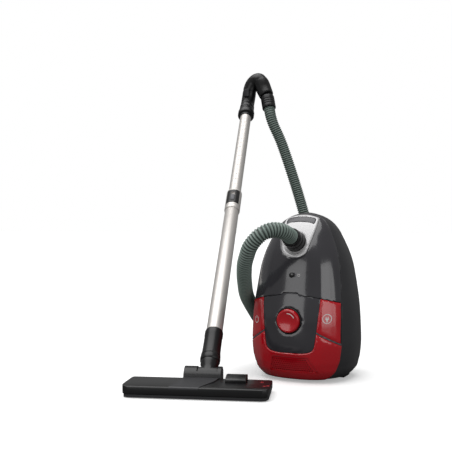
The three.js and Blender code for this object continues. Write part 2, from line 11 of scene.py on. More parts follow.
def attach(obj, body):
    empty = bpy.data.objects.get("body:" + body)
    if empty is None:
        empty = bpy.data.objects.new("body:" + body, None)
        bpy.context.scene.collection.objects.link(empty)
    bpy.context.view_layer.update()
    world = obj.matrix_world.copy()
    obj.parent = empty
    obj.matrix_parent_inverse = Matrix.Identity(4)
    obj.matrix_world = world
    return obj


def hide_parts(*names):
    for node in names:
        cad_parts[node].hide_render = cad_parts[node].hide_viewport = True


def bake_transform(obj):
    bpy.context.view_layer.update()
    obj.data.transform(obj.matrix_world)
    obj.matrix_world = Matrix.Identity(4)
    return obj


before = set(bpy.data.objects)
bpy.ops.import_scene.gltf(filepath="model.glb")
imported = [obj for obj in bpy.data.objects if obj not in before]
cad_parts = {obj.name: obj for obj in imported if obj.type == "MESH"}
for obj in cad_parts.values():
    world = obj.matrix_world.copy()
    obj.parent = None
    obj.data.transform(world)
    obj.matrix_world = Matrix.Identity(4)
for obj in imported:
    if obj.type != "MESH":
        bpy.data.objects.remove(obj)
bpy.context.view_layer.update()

# ------------------------------------------------------------------ camera, light and floor
# A plain white studio: a low sun through a large diffuser gives the floor its soft shadow, and tall strip
# boxes to the left and right of the camera draw upright bands on the glossy mouldings.
def mm(*values):
    """Millimetres to metres: one number, or a vector of three."""
    return values[0] * 0.001 if len(values) == 1 else Vector(values) * 0.001


def linear(code):
    """An sRGB hex colour as linear RGBA."""
    parts = [int(code[i:i + 2], 16) / 255 for i in (1, 3, 5)]
    return [c / 12.92 if c <= 0.04045 else ((c + 0.055) / 1.055) ** 2.4 for c in parts] + [1.0]


def node(tree, kind, settings=None, **inputs):
    """Adds a node with its settings; an input is a value, or an output socket to link from."""
    made = tree.nodes.new(kind)
    for name, value in (settings or {}).items():
        setattr(made, name, value)
    for name, value in inputs.items():
        socket = made.inputs[int(name[1:])] if name[0] == "_" else made.inputs[name.replace("_", " ")]
        if isinstance(value, bpy.types.NodeSocket):
            tree.links.new(value, socket)
        else:
            socket.default_value = value
    return made


def surface(name, **inputs):
    """A material with one Principled BSDF; returns the material, its tree and the shader."""
    material = bpy.data.materials.new(name)
    material.use_nodes = True
    tree = material.node_tree
    tree.nodes.clear()
    shader = node(tree, "ShaderNodeBsdfPrincipled", **inputs)
    node(tree, "ShaderNodeOutputMaterial", Surface=shader.outputs["BSDF"])
    return material, tree, shader


camera = bpy.data.objects.new("camera", bpy.data.cameras.new("camera"))
bpy.context.scene.collection.objects.link(camera)
camera.location = mm(593.8, -1646.3, 350)
camera.rotation_euler = (math.radians(90), 0, math.radians(26))
camera.data.sensor_width = 36
camera.data.lens = 58.9
bpy.context.scene.camera = camera
bpy.context.scene.view_settings.view_transform = "Standard"

floor_bm = bmesh.new()
bmesh.ops.create_grid(floor_bm, x_segments=1, y_segments=1, size=30)
floor_mesh = bpy.data.meshes.new("floor")
floor_bm.to_mesh(floor_mesh)
floor_bm.free()
floor = bpy.data.objects.new("floor", floor_mesh)
bpy.context.scene.collection.objects.link(floor)
floor.location.z = -0.0002
floor_paint, tree, shader = surface("white_floor_paper", Base_Color=linear("#f2f2f2"), Roughness=0.9,
                                    Emission_Color=linear("#ffffff"), Emission_Strength=0.34)
# The object only meets a dim floor in its reflections, as on a table edged with black cards.
dim = node(tree, "ShaderNodeBsdfDiffuse", Color=linear("#6a6a6a"))
lit = node(tree, "ShaderNodeMixShader", _0=node(tree, "ShaderNodeLightPath").outputs["Is Camera Ray"],
           _1=dim.outputs[0], _2=shader.outputs[0])
tree.links.new(lit.outputs[0], tree.nodes["Material Output"].inputs["Surface"])
floor_mesh.materials.append(floor_paint)

world = bpy.data.worlds.new("studio")
bpy.context.scene.world = world
world.use_nodes = True
tree = world.node_tree
tree.nodes.clear()
seen = node(tree, "ShaderNodeBackground", Color=linear("#ffffff"), Strength=1.0)
glow = node(tree, "ShaderNodeBackground", Color=linear("#ffffff"), Strength=0.26)
backdrop = node(tree, "ShaderNodeMixShader", _0=node(tree, "ShaderNodeLightPath").outputs["Is Camera Ray"],
                _1=glow.outputs[0], _2=seen.outputs[0])
node(tree, "ShaderNodeOutputWorld", Surface=backdrop.outputs[0])


def lamp(name, kind, place, aim, power, size=None):
    """A sun, or a rectangular softbox where a size is given, that points at a place."""
    light = bpy.data.objects.new(name, bpy.data.lights.new(name, kind))
    light.data.energy = power
    if size:
        light.data.shape = "RECTANGLE"
        light.data.size, light.data.size_y = size
    light.location = place
    light.rotation_euler = (Vector(place) - Vector(aim)).to_track_quat("Z", "Y").to_euler()
    bpy.context.scene.collection.objects.link(light)
    return light


lamp("diffused_sun", "SUN", (-0.5, -0.4, 3), (0, 0, 0), 2.5).data.angle = math.radians(70)
lamp("strip_left", "AREA", (-0.5, -2.1, 0.75), (0, -0.1, 0.25), 7, (1.05, 1.3))
lamp("strip_right", "AREA", (1.95, -1.2, 0.7), (0, -0.1, 0.2), 8, (0.9, 1.4))

# ------------------------------------------------------------------ hose
# Corrugated plastic hose, extruded on a spiral former: a soft grey-green wall whose colour is painted by ring height,
# with a painted highlight on the rings and painted shade in the grooves. It runs from the lid's connector round the
# canister's left side to the floor behind it, and from there up to the handle.
HOSE_OUTER, HOSE_GROOVE, HOSE_PITCH = 17.5, 14.6, 6.5
INLET_TILT = math.radians(20)
INLET_OUT = Vector((0, -math.cos(INLET_TILT), math.sin(INLET_TILT)))
INLET_FACE = Vector((0, -75.5, 317))
HOSE_FRONT = [INLET_FACE + INLET_OUT * 27, (-1, -124, 334), (-8, -144, 340), (-21, -161, 341), (-36, -173, 334),
              (-52, -176, 321), (-67, -173, 304), (-79, -162, 285), (-91, -147, 267), (-101, -128, 250),
              (-111, -106, 232), (-120, -83, 215), (-129, -59, 198), (-136, -34, 181), (-140, -8, 164),
              (-142, 18, 146), (-143, 43, 128), (-142, 69, 109), (-142, 95, 91), (-141, 121, 73), (-139, 148, 56),
              (-138, 176, 42), (-136, 205, 30), (-134, 236, 22), (-132, 266, 18.5), (-130, 298, 18.5),
              (-130, 329, 18.5), (-130, 360, 18.5)]
HOSE_REAR = [(-130, 360.4, 18.5), (-131, 410, 18.5), (-134, 462, 22), (-139, 508, 42), (-146, 538, 80),
             (-154, 552, 130), (-163, 556, 190), (-173, 554, 250), (-184, 550, 310), (-204, 543, 394),
             (-234, 534, 500), (-270, 525, 610), (-294, 517, 668), (-304.9, 517.8, 699.6), (-311.7, 525.6, 720)]

hose_wall, tree, shader = surface("corrugated_hose_pvc", Roughness=0.42)
# Ring tops are painted a light grey-green and grooves a dark one: painted highlight and painted shade, mixed by ring
# height.
ring_height = node(tree, "ShaderNodeAttribute", {"attribute_name": "ring_height"}).outputs["Fac"]
ring_shade_and_highlight = node(tree, "ShaderNodeMix", {"data_type": "RGBA"}, Factor=ring_height, _6=linear("#1f2825"),
            _7=linear("#8b9c94"))
tree.links.new(ring_shade_and_highlight.outputs[2], shader.inputs["Base Color"])


def smooth_line(points, per=8):
    """More points on a smooth line through the given ones."""
    found = []
    for i in range(len(points) - 1):
        p = [Vector(points[max(0, min(len(points) - 1, i + k))]) for k in (-1, 0, 1, 2)]
        for step in range(per):
            t = step / per
            found.append(0.5 * (2 * p[1] + (p[2] - p[0]) * t + (2 * p[0] - 5 * p[1] + 4 * p[2] - p[3]) * t * t
                                + (3 * p[1] - p[0] - 3 * p[2] + p[3]) * t ** 3))
    return found + [Vector(points[-1])]


def stations(points, step):
    """Places along a smooth line at equal steps, each with its own two cross directions, and the length."""
    line = smooth_line([Vector(p) for p in points], per=24)
    along = [0.0]
    for a, b in zip(line, line[1:]):
        along.append(along[-1] + (b - a).length)
    count = max(2, round(along[-1] / step))
    places, k = [], 0
    for i in range(count + 1):
        want = along[-1] * i / count
        while k < len(along) - 2 and along[k + 1] < want:
            k += 1
        share = (want - along[k]) / max(along[k + 1] - along[k], 1e-9)
        places.append(line[k].lerp(line[k + 1], share))
    frames, side = [], None
    for i, place in enumerate(places):
        forward = (places[min(i + 1, count)] - places[max(i - 1, 0)]).normalized()
        side = side or forward.orthogonal().normalized()
        side = (side - forward * side.dot(forward)).normalized()
        frames.append((place, side, forward.cross(side)))
    return frames, along[-1]


def wrapped(around, along, place):
    """A tube from a grid whose first and last columns meet; place(u, v) gives each point."""
    bm = bmesh.new()
    bmesh.ops.create_grid(bm, x_segments=around, y_segments=along, size=0.5)
    for vert in bm.verts:
        vert.co = place(vert.co.x + 0.5, vert.co.y + 0.5)
    bmesh.ops.remove_doubles(bm, verts=bm.verts, dist=1e-6)
    return bm


def closed(bm):
    """Fills the open ends and points every face outwards."""
    bmesh.ops.holes_fill(bm, edges=[e for e in bm.edges if e.is_boundary], sides=0)
    bmesh.ops.recalc_face_normals(bm, faces=bm.faces)
    if bm.calc_volume(signed=True) < 0:
        bmesh.ops.reverse_faces(bm, faces=bm.faces)
    return bm


def swept(points, radius_at, sides=28, step=3.0):
    """A closed round bar along a smooth line; radius_at(share, number) gives its radius in millimetres."""
    frames, length = stations(points, step)
    last = len(frames) - 1

    def wall(u, v):
        i = round(v * last)
        place, side, up = frames[i]
        radius, turn = radius_at(i / last, i), math.tau * u
        return mm(*(place + side * radius * math.cos(turn) + up * radius * math.sin(turn)))

    return closed(wrapped(sides, last, wall)), frames, length


def shown(bm, name, material, body, replaces=(), sharp=40):
    """A bmesh as a smooth-shaded piece that rides on a body and stands for CAD nodes."""
    mesh = bpy.data.meshes.new(name)
    bm.to_mesh(mesh)
    bm.free()
    mesh.polygons.foreach_set("use_smooth", [True] * len(mesh.polygons))
    mesh.set_sharp_from_angle(angle=math.radians(sharp))
    mesh.materials.append(material)
    piece = bpy.data.objects.new(name, mesh)
    bpy.context.scene.collection.objects.link(piece)
    if body:
        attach(piece, body)
    if replaces:
        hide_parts(*replaces)
    return piece


def hose(name, points):
    """A corrugated run of hose, swept along the route it follows."""
    rows_per_ring = 6

    def ring_radius(share, i):
        return HOSE_GROOVE + (HOSE_OUTER - HOSE_GROOVE) * (0.5 + 0.5 * math.cos(math.tau * i / rows_per_ring))

    bm, frames, length = swept(points, ring_radius, 28, HOSE_PITCH / rows_per_ring)
    # Each point's ring height, which paints the hose lighter on its rings (painted highlight) and darker in its
    # grooves (painted shade).
    layer = bm.verts.layers.float.new("ring_height")
    centres = KDTree(len(frames))
    for i, (place, _, _) in enumerate(frames):
        centres.insert(mm(*place), i)
    centres.balance()
    for vert in bm.verts:
        radius = centres.find(vert.co)[2] * 1000
        vert[layer] = max(0.0, min(1.0, (radius - HOSE_GROOVE) / (HOSE_OUTER - HOSE_GROOVE)))
    piece = shown(bm, name + "_wall", hose_wall, None, [name], sharp=80)
    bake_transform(piece)
    [list(mm(*f[0])) for f in frames]


hose("hose_front", HOSE_FRONT)
hose("hose_rear", HOSE_REAR)

# ------------------------------------------------------------------ base shell
# One smooth beehive form, which every shell of the canister is cut from so that their surfaces meet. The base
# shell is the dark rear half: moulded ABS with a fine spark-eroded texture, so it looks matt and even.
# Each row gives height, half width, and reach in front of and behind the middle.
BODY_ROWS = [(5, 82, 71, 76), (7, 93, 82, 85), (11, 101, 92, 92), (25, 113, 102, 100), (39, 117, 107, 103),
             (54, 120.5, 110, 104.5), (85, 123, 114, 106), (124, 122, 113, 106), (153, 120.5, 111, 106),
             (181, 118, 106.5, 105.5), (209, 114, 100, 104.5), (237, 109.5, 94, 102.5), (265, 104, 87.5, 100),
             (294, 94.5, 78, 94), (322, 82, 64, 85), (343, 71, 51, 75), (360, 57, 37, 62), (372, 39, 21, 46),
             (379, 20, 4, 28), (381.5, 8, -3, 17), (382, 0.5, -9.5, 10.5)]
BELLY_Y = 10
FRONT_POWER, REAR_POWER = 2 / 2.4, 2 / 2.8
CREASES = ((0.57, 0.10, 1.7), (0.855, 0.09, 2.6))  # place across, width, height of each soft crease
WALL = 3
PARTING = [(-68, -20), (-66, 60), (-65, 105), (-61, 150), (-57, 182), (-49, 218), (-42, 253), (-35, 281),
           (-28, 306), (-22, 330), (-16, 352), (-6, 370), (8, 400)]
body_levels = smooth_line([Vector(row) for row in BODY_ROWS], per=8)
ALONG_Y = Matrix(((1, 0, 0), (0, 0, -1), (0, 1, 0))).to_4x4()  # an outline in (x, z), swept along -Y
ALONG_X = Matrix(((0, 0, 1), (1, 0, 0), (0, 1, 0))).to_4x4()  # an outline in (y, z), swept along X
TO_X = Matrix.Rotation(math.radians(90), 4, "Y")
TO_Y = Matrix.Rotation(math.radians(-90), 4, "X")


def front_y(ratio, s_power, z, front, grow):
    """How far forward the canister's front is, with its two soft creases, at a place across."""
    fade = max(0.0, min(1.0, (352 - z) / 150)) * min(1.0, max(0.0, (z - 10) / 40))
    crease = sum(high * fade * max(0.0, 1 - abs(ratio - at) / wide) for at, wide, high in CREASES)
    return BELLY_Y - (front + BELLY_Y + grow) * s_power - crease


def body_form(grow=0.0, around=168):
    """The canister's closed form, grown or shrunk by some millimetres."""
    last = len(body_levels) - 1
    middle, half_height = 193.5, 188.5

    def place(u, v):
        z, half, front, rear = body_levels[round(v * last)]
        c, s = math.cos(math.tau * u), math.sin(math.tau * u)
        power = FRONT_POWER if s < 0 else REAR_POWER
        ratio = abs(c) ** power
        if s < 0:
            y = front_y(ratio, abs(s) ** power, z, front, grow)
        else:
            y = BELLY_Y + (rear - BELLY_Y + grow) * s ** power
        return mm(math.copysign((half + grow) * ratio, c), y, middle + (z - middle) * (1 + grow / half_height))

    return closed(wrapped(around, last, place))


def front_point(x, z, grow=0.0):
    """The point of the canister's front, in millimetres, that stands at x and z."""
    k = min(len(BODY_ROWS) - 2, sum(row[0] <= z for row in BODY_ROWS) - 1)
    a, b = Vector(BODY_ROWS[k]), Vector(BODY_ROWS[k + 1])
    _, half, front, _ = a.lerp(b, (z - a[0]) / (b[0] - a[0]))
    ratio = min(1.0, abs(x) / (half + grow))
    s = math.sqrt(max(0.0, 1 - ratio ** (2 / FRONT_POWER)))
    return Vector((x, front_y(ratio, s ** FRONT_POWER, z, front, grow), z))


def prism(outline, low, high, turn=Matrix.Identity(4)):
    """An outline in millimetres, extruded between two heights and turned onto another axis."""
    bm = bmesh.new()
    face = bm.faces.new([bm.verts.new(mm(p[0], p[1], low)) for p in outline])
    out = bmesh.ops.extrude_face_region(bm, geom=[face])["geom"]
    bmesh.ops.translate(bm, vec=mm(0, 0, high - low), verts=[g for g in out if isinstance(g, bmesh.types.BMVert)])
    bmesh.ops.transform(bm, matrix=turn, verts=bm.verts)
    bmesh.ops.recalc_face_normals(bm, faces=bm.faces)
    return bm


def carved(bm, *steps):
    """Cuts and keeps: each step is (operation, cutter bmesh)."""
    mesh = bpy.data.meshes.new("carving")
    bm.to_mesh(mesh)
    bm.free()
    piece = bpy.data.objects.new("carving", mesh)
    bpy.context.scene.collection.objects.link(piece)
    tools = []
    for operation, cutter in steps:
        tool_mesh = bpy.data.meshes.new("tool")
        cutter.to_mesh(tool_mesh)
        cutter.free()
        tools.append(bpy.data.objects.new("tool", tool_mesh))
        bpy.context.scene.collection.objects.link(tools[-1])
        change = piece.modifiers.new("cut", "BOOLEAN")
        change.operation = operation
        change.solver = "MANIFOLD"
        change.object = tools[-1]
    bpy.context.view_layer.update()
    done = piece.evaluated_get(bpy.context.evaluated_depsgraph_get())
    result = bmesh.new()
    result.from_mesh(done.to_mesh())
    done.to_mesh_clear()
    for thing in [piece, *tools]:
        bpy.data.objects.remove(thing)
    bmesh.ops.remove_doubles(result, verts=result.verts, dist=2e-6)
    return result


def eased(bm, depth=0.5):
    """Draws a cut shell's outer edges in a little, so that they catch the light as moulded edges do."""
    bm.normal_update()
    rim = {v for e in bm.edges if len(e.link_faces) == 2 and e.calc_face_angle() > 0.8 for v in e.verts}
    for vert in rim:
        k = min(len(BODY_ROWS) - 2, max(0, sum(row[0] <= vert.co.z * 1000 for row in BODY_ROWS) - 1))
        a, b = Vector(BODY_ROWS[k]), Vector(BODY_ROWS[k + 1])
        _, half, front, rear = a.lerp(b, max(0.0, min(1.0, (vert.co.z * 1000 - a[0]) / (b[0] - a[0]))))
        y = vert.co.y * 1000 - BELLY_Y
        reach, power = (front + BELLY_Y, FRONT_POWER) if y < 0 else (rear - BELLY_Y, REAR_POWER)
        if abs(vert.co.x * 1000 / half) ** (2 / power) + abs(y / reach) ** (2 / power) > 0.988:
            vert.co += (Vector((0, mm(BELLY_Y), vert.co.z)) - vert.co).normalized() * mm(depth)
    return bm


def side_region(shift, front=True):
    """The canister's front or rear side of the parting between its shells."""
    far = -240 if front else 240
    edge = [tuple(p) for p in smooth_line([Vector((y + shift, z)) for y, z in PARTING], 4)]
    return prism(edge + [(far, 400), (far, -20)], -200, 200, ALONG_X)


def turned(profile, place=Matrix.Identity(4), steps=48):
    """A profile of (radius, height) in millimetres, spun about local Z and put in place."""
    bm = bmesh.new()
    line = [bm.verts.new(mm(r, 0, z)) for r, z in profile]
    edges = [bm.edges.new(pair) for pair in zip(line, line[1:])]
    if profile[0][0] > 0 and profile[-1][0] > 0:
        edges.append(bm.edges.new((line[-1], line[0])))
    bmesh.ops.spin(bm, geom=line + edges, cent=(0, 0, 0), axis=(0, 0, 1), angle=math.tau, steps=steps,
                   use_merge=True)
    bmesh.ops.remove_doubles(bm, verts=bm.verts, dist=1e-6)
    bmesh.ops.recalc_face_normals(bm, faces=bm.faces)
    bmesh.ops.transform(bm, matrix=place, verts=bm.verts)
    return bm


def rod(radius, low, high, turn=Matrix.Identity(4), centre=(0, 0, 0), steps=48):
    """A plain closed rod, to cut with or to join."""
    return turned([(0, low), (radius, low), (radius, high), (0, high)], Matrix.Translation(mm(*centre)) @ turn, steps)


def object_space(tree, turn=(0, 0, 0), scale=(1, 1, 1)):
    """Object coordinates, turned and then scaled."""
    place = node(tree, "ShaderNodeTexCoord").outputs["Object"]
    place = node(tree, "ShaderNodeMapping", Vector=place, Rotation=turn).outputs["Vector"]
    return node(tree, "ShaderNodeMapping", Vector=place, Scale=scale).outputs["Vector"]


def moulded(tree, shader, colour_a, colour_b, grain_mm, strength, depth_mm=0.05, cloud_mm=60):
    """A moulding's slightly cloudy colour, and its fine surface texture as bump."""
    space = object_space(tree)
    cloud = node(tree, "ShaderNodeTexNoise", Vector=space, Scale=1000 / cloud_mm, Detail=3.0)
    mix = node(tree, "ShaderNodeMix", {"data_type": "RGBA"}, Factor=cloud.outputs["Fac"], _6=linear(colour_a),
               _7=linear(colour_b))
    tree.links.new(mix.outputs[2], shader.inputs["Base Color"])
    grain = node(tree, "ShaderNodeTexNoise", Vector=space, Scale=1000 / grain_mm, Detail=2.0)
    bump = node(tree, "ShaderNodeBump", Height=grain.outputs["Fac"], Strength=strength, Distance=depth_mm / 1000)
    tree.links.new(bump.outputs["Normal"], shader.inputs["Normal"])


matt_abs, tree, shader = surface("textured_grey_abs", Roughness=0.42)
moulded(tree, shader, "#2b2b2d", "#303033", 1.2, 0.3)

skin = carved(body_form(), ("DIFFERENCE", body_form(-WALL, 96)))
front_skin = carved(skin.copy(), ("INTERSECT", side_region(-1.3)))
WHEEL_X, WHEEL_Y, WHEEL_Z, WHEEL_R = 72, 88, 58, 36
CASTER_Y, CASTER_Z = 97, 300
wells = [("DIFFERENCE", rod(WHEEL_R + 4, -14, 14, TO_X, (side * WHEEL_X, WHEEL_Y, WHEEL_Z))) for side in (-1, 1)]
wells.append(("DIFFERENCE", rod(26, -16, 40, TO_Y, (0, CASTER_Y, CASTER_Z))))
wells.append(("DIFFERENCE", rod(9.4, 60, 130, TO_Y, (48, 0, 34), 24)))
base = carved(skin.copy(), ("INTERSECT", side_region(0, front=False)), *wells)
shown(eased(base), "base_shell_moulding", matt_abs, "canister", ["base_shell"])

# ------------------------------------------------------------------ lid
# Glossy dark grey ABS, polished in the mould, with the slightest orange peel. Its lower edge waves over the
# control panel. A small smoked window shows when the bag is full, beside a printed bag mark.
gloss_abs, tree, shader = surface("polished_grey_abs", Roughness=0.17, Coat_Weight=0.5, Coat_Roughness=0.06)
moulded(tree, shader, "#333236", "#37363a", 9, 0.05, cloud_mm=90)
SEAM_HALF = [(0, 201.5), (15, 201), (26, 196), (65, 190), (110, 178), (150, 168)]
INLET_SIDE = [(0, 279.5), (14, 281), (26, 287.5), (31, 297), (34.5, 312), (37, 322), (40.5, 343), (40.5, 362),
              (36, 369), (14, 375), (0, 376)]
WINDOW_Z, WINDOW_R = 240, 5.5


def both_sides(half, closes=False):
    """Mirrors the right half of an outline in (x, z) about the middle."""
    return [(-x, z) for x, z in reversed(half[1:-1] if closes else half[1:])] + half


def front_region(outline, low=0, high=220, per=4):
    """A smooth outline in (x, z), swept through the canister's front."""
    return prism([tuple(p) for p in smooth_line([Vector(p) for p in outline], per)], low, high, ALONG_Y)


def seam_region(lift, above):
    """What lies above or below the lid's lower edge."""
    edge = [tuple(p) for p in smooth_line([Vector((x, z + lift)) for x, z in both_sides(SEAM_HALF)])]
    far = 430 if above else -30
    return prism(edge + [(150, far), (-150, far)], -220, 220, ALONG_Y)


def inlet_region(grow):
    """The outline of the silver panel round the hose inlet."""
    grown = [(x + grow * (x > 0), z + math.copysign(grow, z - 330)) for x, z in INLET_SIDE]
    ring_line = both_sides(grown, closes=True)
    return front_region(ring_line + ring_line[:1], low=-60)


lid = carved(front_skin.copy(), ("INTERSECT", seam_region(0.7, True)), ("DIFFERENCE", inlet_region(0.5)),
             ("DIFFERENCE", rod(WINDOW_R + 0.4, -140, -60, TO_Y, (0, 0, WINDOW_Z), 32)))
shown(eased(lid), "lid_moulding", gloss_abs, "lid", ["lid_shell"])

smoked_window, tree, shader = surface("smoked_acrylic", Roughness=0.06, Coat_Weight=0.6)
moulded(tree, shader, "#070708", "#0c0c0d", 4, 0.02)
window_place = Matrix.Translation(mm(0, 0, WINDOW_Z)) @ Matrix.Rotation(math.radians(90), 4, "X")
shown(turned([(0, 86), (5.5, 86), (5.5, 93.2), (4.6, 94), (2.5, 94.3), (0, 94.4)], window_place, 40),
      "indicator_window", smoked_window, "lid", ["indicator_lens"])

white_print, tree, shader = surface("white_pad_print", Roughness=0.5)
moulded(tree, shader, "#d8d6d4", "#e4e2e0", 2, 0.05)


def printed(grow, *outlines):
    """A thin print that follows the canister's front: outlines in (x, z), the first kept and the rest cut out."""
    layer = carved(body_form(grow + 0.22), ("DIFFERENCE", body_form(grow - 0.1)))
    for outline in outlines[1:]:
        layer = carved(layer, ("DIFFERENCE", prism(outline, 0, 220, ALONG_Y)))
    return carved(layer, ("INTERSECT", prism(outlines[0], 0, 220, ALONG_Y)))


BAG_OUTSIDE = [(14.6, 237), (18.6, 237), (19, 240), (18.6, 244), (17.6, 242.4), (15.6, 242.4), (14.6, 244),
               (14.2, 240)]
BAG_INSIDE = [(15, 237.6), (18.2, 237.6), (18.4, 240), (18, 241.8), (15.2, 241.8), (14.8, 240)]
shown(printed(0, BAG_OUTSIDE, BAG_INSIDE), "bag_mark", white_print, "lid")

# ------------------------------------------------------------------ inlet panel and latch
# A silver-painted shield with a rounded rim, dished round the hose connector; the grey latch bar is let into it.
silver_paint, tree, shader = surface("silver_painted_abs", Metallic=0.15, Roughness=0.32, Coat_Weight=0.35,
                                     Coat_Roughness=0.12)
moulded(tree, shader, "#c6c5c6", "#d0cfd0", 5, 0.03, cloud_mm=50)
LATCH_SIDE = [(0, 360.5), (15, 359.8), (26, 358), (32, 355.5), (34.5, 358), (34.5, 364), (30, 367.5), (18, 370),
              (0, 371.5)]


def latch_region(grow):
    """The outline of the latch bar."""
    grown = [(x + grow * (x > 25), z + math.copysign(grow, z - 362)) for x, z in LATCH_SIDE]
    ring_line = both_sides(grown, closes=True)
    return front_region(ring_line + ring_line[:1], low=-60)


inlet_place = Matrix.Translation(mm(*INLET_FACE)) @ Matrix.Rotation(math.radians(90) - INLET_TILT, 4, "X")
thick_skin = carved(body_form(1.5), ("DIFFERENCE", body_form(-2.5, 96)), ("INTERSECT", side_region(-1.3)))
dish = turned([(0, -8.2), (25, -8.2), (29, -7), (31.5, -4), (31.5, 40), (0, 40)], inlet_place, 64)
panel = carved(thick_skin.copy(), ("INTERSECT", inlet_region(-0.4)), ("DIFFERENCE", latch_region(0.9)),
               ("DIFFERENCE", rod(24, -40, 40, inlet_place, (0, 0, 0), 64)), ("DIFFERENCE", dish))
shown(eased(panel, 0.9), "inlet_panel_shield", silver_paint, "lid", ["inlet_panel"], sharp=50)
latch = carved(thick_skin.copy(), ("INTERSECT", latch_region(0)))
latch_grey, tree, shader = surface("satin_grey_abs", Roughness=0.34)
moulded(tree, shader, "#4d4c50", "#525155", 1.5, 0.15)
shown(eased(latch, 0.8), "lid_latch_bar", latch_grey, "latch", ["lid_latch"])

# ------------------------------------------------------------------ hose connector
# Black polypropylene sleeve that turns in the lid's inlet; a fine turned step marks where the hose is pushed in.
black_pp, tree, shader = surface("black_polypropylene", Roughness=0.36)
moulded(tree, shader, "#0c0c0d", "#121213", 0.9, 0.22, cloud_mm=40)
shown(turned([(16.5, -46), (19.8, -46), (19.8, -8), (23, -6), (23, 7), (22.6, 9), (22, 10), (22.2, 12), (22, 20),
              (21.6, 24), (20.8, 26), (18.5, 26.4), (16.5, 26)], inlet_place, 64),
      "hose_connector_sleeve", black_pp, "connector", ["hose_connector"])

# ------------------------------------------------------------------ control panel
# The same polished grey as the lid, with a round well for the power knob.
PANEL_SIDE = [(0, 69), (27, 69), (47, 73), (56, 83), (61, 115), (64.5, 150), (67, 182), (67, 240)]
KNOB_Z = 140


def panel_region(grow):
    """The outline of the control panel."""
    return front_region(both_sides([(x + grow * (x > 0), z - grow * (z < 90)) for x, z in PANEL_SIDE]))


control = carved(front_skin.copy(), ("INTERSECT", seam_region(-0.7, False)), ("INTERSECT", panel_region(0)),
                 ("DIFFERENCE", rod(30, -140, -80, TO_Y, (0, 0, KNOB_Z), 64)))
shown(eased(control), "control_panel_moulding", gloss_abs, "canister", ["control_panel"])

# ------------------------------------------------------------------ bumper and pedals
# Glossy red ABS, standing a little proud of the grey panel, with a rolled bead along its edge. The pedals, for
# power on the left and cord rewind on the right, are parted from the bumper by a slim grey sill.
red_abs, tree, shader = surface("polished_red_abs", Roughness=0.17, Coat_Weight=0.5, Coat_Roughness=0.06)
moulded(tree, shader, "#b50617", "#bf0a1c", 9, 0.05, cloud_mm=80)
RED_PROUD = 1.4
red_skin = carved(body_form(RED_PROUD), ("DIFFERENCE", body_form(-WALL, 96)), ("INTERSECT", side_region(-1.3)))
GRILLE = [(-50, 26), (61, 26), (41, 58), (-41, 58)]


def pedal_region(side, grow):
    """A pedal's place beside the control panel."""
    inner_z, outer_z = 113 - grow, 62 - grow
    edge = [(side * 57, inner_z + 5), (side * 65, inner_z), (side * 150, outer_z), (side * 150, 230), (side * 57, 230)]
    return prism(edge, 0, 220, ALONG_Y)


def grille_region(grow):
    """The opening for the exhaust grille."""
    edge = [(x + math.copysign(grow, x), z + (grow if z > 40 else -grow)) for x, z in GRILLE]
    return prism(edge, 0, 220, ALONG_Y)


def bead(points, name, body):
    """A rolled red edge that follows the canister's front."""
    route = [front_point(x, z, RED_PROUD - 1.4) for x, z in smooth_line([Vector(p) for p in points], 3)]
    shown(swept(route, lambda share, i: 2.4 * min(1.0, 0.3 + 12 * min(share, 1 - share)), 16, 3)[0], name, red_abs,
          body, sharp=70)


bumper = carved(red_skin.copy(), ("INTERSECT", seam_region(-0.7, False)), ("DIFFERENCE", panel_region(0.8)),
                ("DIFFERENCE", pedal_region(-1, 2.2)), ("DIFFERENCE", pedal_region(1, 2.2)),
                ("DIFFERENCE", grille_region(0.4)))
shown(eased(bumper, 1.0), "rear_bumper_moulding", red_abs, "canister", ["rear_bumper"])
bead_side = [(0, 66), (27, 66), (49, 70.5), (59.5, 83), (63.6, 106)]
bead(both_sides(bead_side), "bumper_bead", "canister")
for side, node_name, body in ((-1, "power_pedal", "on_off_pedal"), (1, "rewind_pedal", "cord_pedal")):
    half = prism([(0, 0), (side * 160, 0), (side * 160, 400), (0, 400)], 0, 220, ALONG_Y)
    pedal = carved(red_skin.copy(), ("INTERSECT", side_region(-4.3)), ("INTERSECT", seam_region(-0.7, False)),
                   ("INTERSECT", pedal_region(side, -2.2)), ("INTERSECT", half), ("DIFFERENCE", panel_region(0.8)))
    shown(eased(pedal, 0.9), node_name + "_cap", red_abs, body, [node_name])
    bead([(side * 65.6, 121), (side * 67.2, 148), (side * 69.6, 180), (side * 69.8, 185)], node_name + "_bead", body)
    half = prism([(0, 0), (side * 160, 0), (side * 160, 400), (0, 400)], 0, 220, ALONG_Y)
    sill = carved(red_skin.copy(), ("INTERSECT", half), ("INTERSECT", pedal_region(side, 1.6)),
                  ("DIFFERENCE", pedal_region(side, -1.6)), ("DIFFERENCE", panel_region(0.8)),
                  ("INTERSECT", seam_region(-12, False)))
    shown(eased(sill, 0.6), node_name + "_sill", latch_grey, "canister")


def oval(x, z, across, up, start=0, end=360, steps=40):
    """Points on an oval in (x, z), in degrees from +X."""
    turns = [math.radians(start + (end - start) * i / steps) for i in range(steps + (end - start < 360))]
    return [(x + across * math.cos(t), z + up * math.sin(t)) for t in turns]


